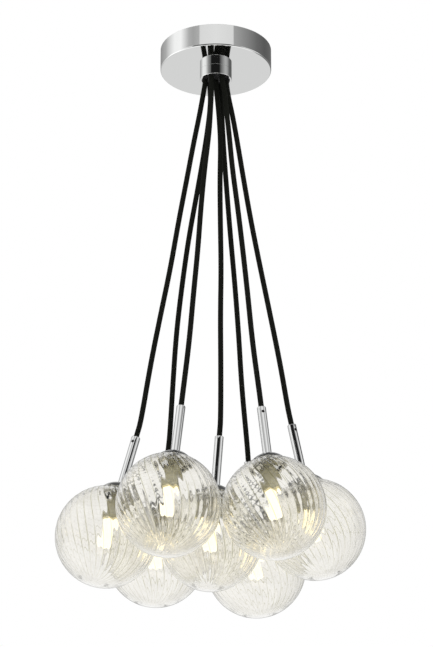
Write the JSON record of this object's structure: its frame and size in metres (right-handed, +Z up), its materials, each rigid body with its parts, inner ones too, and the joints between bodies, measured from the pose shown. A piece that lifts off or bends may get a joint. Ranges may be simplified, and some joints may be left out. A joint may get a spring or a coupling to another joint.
{
  "type": "cluster pendant ceiling light",
  "caption": "Cluster pendant: a round chrome canopy with a collar from which black cords hang a tight bunch of ribbed clear glass globes with capsule lamps.",
  "frame": {"origin": "on the canopy's axis in the plane of the ceiling, at the middle of the bracket's top face", "axes": "+Z up into the ceiling, +X to the right along the ceiling bracket, -Y towards the viewer of the picture"},
  "size_m": [0.363, 0.3415, 0.705],
  "materials": {
    "chrome": "polished chrome plate",
    "zinc": "zinc plated",
    "spring_steel": "bare spring steel",
    "black_plastic": "moulded, matt",
    "white_plastic": "moulded, matt",
    "cord": "finely braided black sleeve",
    "ceramic": "glazed olive ceramic",
    "globe_glass": "clear blown glass with twisted ribs",
    "lamp_glass": "frosted, lit"
  },
  "bodies": {
    "ceiling_rose": {"canopy": "chrome", "ceiling_bracket": "zinc", "collar": "chrome", "collar_nut": "zinc", "cord_spacer": "black_plastic", "terminal_block": "white_plastic", "cord_grips": "black_plastic", "cord_tails": "cord", "canopy_screws": "zinc", "cord_middle": "cord"},
    "pendant_right": {"stem_right": "chrome", "cap_right": "chrome", "lampholder_right": "ceramic", "globe_clip_right": "spring_steel", "cord_right": "cord"},
    "shade_right": {"globe_right": "globe_glass"},
    "bulb_right": {"lamp_right": "lamp_glass"},
    "pendant_back_right": {"stem_back_right": "chrome", "cap_back_right": "chrome", "lampholder_back_right": "ceramic", "globe_clip_back_right": "spring_steel", "cord_back_right": "cord"},
    "shade_back_right": {"globe_back_right": "globe_glass"},
    "bulb_back_right": {"lamp_back_right": "lamp_glass"},
    "pendant_back_left": {"stem_back_left": "chrome", "cap_back_left": "chrome", "lampholder_back_left": "ceramic", "globe_clip_back_left": "spring_steel", "cord_back_left": "cord"},
    "shade_back_left": {"globe_back_left": "globe_glass"},
    "bulb_back_left": {"lamp_back_left": "lamp_glass"},
    "pendant_left": {"stem_left": "chrome", "cap_left": "chrome", "lampholder_left": "ceramic", "globe_clip_left": "spring_steel", "cord_left": "cord"},
    "shade_left": {"globe_left": "globe_glass"},
    "bulb_left": {"lamp_left": "lamp_glass"},
    "pendant_front_left": {"stem_front_left": "chrome", "cap_front_left": "chrome", "lampholder_front_left": "ceramic", "globe_clip_front_left": "spring_steel", "cord_front_left": "cord"},
    "shade_front_left": {"globe_front_left": "globe_glass"},
    "bulb_front_left": {"lamp_front_left": "lamp_glass"},
    "pendant_front_right": {"stem_front_right": "chrome", "cap_front_right": "chrome", "lampholder_front_right": "ceramic", "globe_clip_front_right": "spring_steel", "cord_front_right": "cord"},
    "shade_front_right": {"globe_front_right": "globe_glass"},
    "bulb_front_right": {"lamp_front_right": "lamp_glass"},
    "pendant_middle": {"stem_middle": "chrome", "cap_middle": "chrome", "lampholder_middle": "ceramic", "globe_clip_middle": "spring_steel"},
    "shade_middle": {"globe_middle": "globe_glass"},
    "bulb_middle": {"lamp_middle": "lamp_glass"}
  },
  "joints": [
    {"name": "right_swing", "type": "hinge", "parent": "ceiling_rose", "child": "pendant_right", "pos_m": [0.01315, 0.00115, -0.04565], "axis": [0.0872, -0.9962, 0], "range_deg": [0, 25]},
    {"name": "right_globe_pull", "type": "slide", "parent": "pendant_right", "child": "shade_right", "axis": [0.2014, 0.0694, -0.977], "range_m": [0, 0.085]},
    {"name": "right_lamp_pull", "type": "slide", "parent": "pendant_right", "child": "bulb_right", "axis": [0.2014, 0.0694, -0.977], "range_m": [0, 0.014]},
    {"name": "back_right_swing", "type": "hinge", "parent": "ceiling_rose", "child": "pendant_back_right", "pos_m": [0.00558, 0.01196, -0.04565], "axis": [0.9063, -0.4226, 0], "range_deg": [0, 25]},
    {"name": "back_right_globe_pull", "type": "slide", "parent": "pendant_back_right", "child": "shade_back_right", "axis": [0.0684, 0.1596, -0.9848], "range_m": [0, 0.085]},
    {"name": "back_right_lamp_pull", "type": "slide", "parent": "pendant_back_right", "child": "bulb_back_right", "axis": [0.0684, 0.1596, -0.9848], "range_m": [0, 0.014]},
    {"name": "back_left_swing", "type": "hinge", "parent": "ceiling_rose", "child": "pendant_back_left", "pos_m": [-0.00757, 0.01081, -0.04565], "axis": [0.8192, 0.5736, 0], "range_deg": [0, 25]},
    {"name": "back_left_globe_pull", "type": "slide", "parent": "pendant_back_left", "child": "shade_back_left", "axis": [-0.104, 0.1496, -0.9833], "range_m": [0, 0.085]},
    {"name": "back_left_lamp_pull", "type": "slide", "parent": "pendant_back_left", "child": "bulb_back_left", "axis": [-0.104, 0.1496, -0.9833], "range_m": [0, 0.014]},
    {"name": "left_swing", "type": "hinge", "parent": "ceiling_rose", "child": "pendant_left", "pos_m": [-0.01315, -0.00115, -0.04565], "axis": [-0.0872, 0.9962, 0], "range_deg": [0, 25]},
    {"name": "left_globe_pull", "type": "slide", "parent": "pendant_left", "child": "shade_left", "axis": [-0.2517, -0.0604, -0.9659], "range_m": [0, 0.085]},
    {"name": "left_lamp_pull", "type": "slide", "parent": "pendant_left", "child": "bulb_left", "axis": [-0.2517, -0.0604, -0.9659], "range_m": [0, 0.014]},
    {"name": "front_left_swing", "type": "hinge", "parent": "ceiling_rose", "child": "pendant_front_left", "pos_m": [-0.00558, -0.01196, -0.04565], "axis": [-0.9063, 0.4226, 0], "range_deg": [0, 25]},
    {"name": "front_left_globe_pull", "type": "slide", "parent": "pendant_front_left", "child": "shade_front_left", "axis": [-0.1033, -0.1705, -0.9799], "range_m": [0, 0.085]},
    {"name": "front_left_lamp_pull", "type": "slide", "parent": "pendant_front_left", "child": "bulb_front_left", "axis": [-0.1033, -0.1705, -0.9799], "range_m": [0, 0.014]},
    {"name": "front_right_swing", "type": "hinge", "parent": "ceiling_rose", "child": "pendant_front_right", "pos_m": [0.00757, -0.01081, -0.04565], "axis": [-0.8192, -0.5736, 0], "range_deg": [0, 25]},
    {"name": "front_right_globe_pull", "type": "slide", "parent": "pendant_front_right", "child": "shade_front_right", "axis": [0.1037, -0.1328, -0.9857], "range_m": [0, 0.085]},
    {"name": "front_right_lamp_pull", "type": "slide", "parent": "pendant_front_right", "child": "bulb_front_right", "axis": [0.1037, -0.1328, -0.9857], "range_m": [0, 0.014]},
    {"name": "middle_twist", "type": "hinge", "parent": "ceiling_rose", "child": "pendant_middle", "pos_m": [0.00416, 0.00259, -0.51498], "axis": [0.0741, 0.0199, 0.9971], "range_deg": [-120, 120]},
    {"name": "middle_globe_pull", "type": "slide", "parent": "pendant_middle", "child": "shade_middle", "axis": [-0.0741, -0.0199, -0.9971], "range_m": [0, 0.085]},
    {"name": "middle_lamp_pull", "type": "slide", "parent": "pendant_middle", "child": "bulb_middle", "axis": [-0.0741, -0.0199, -0.9971], "range_m": [0, 0.014]}
  ]
}
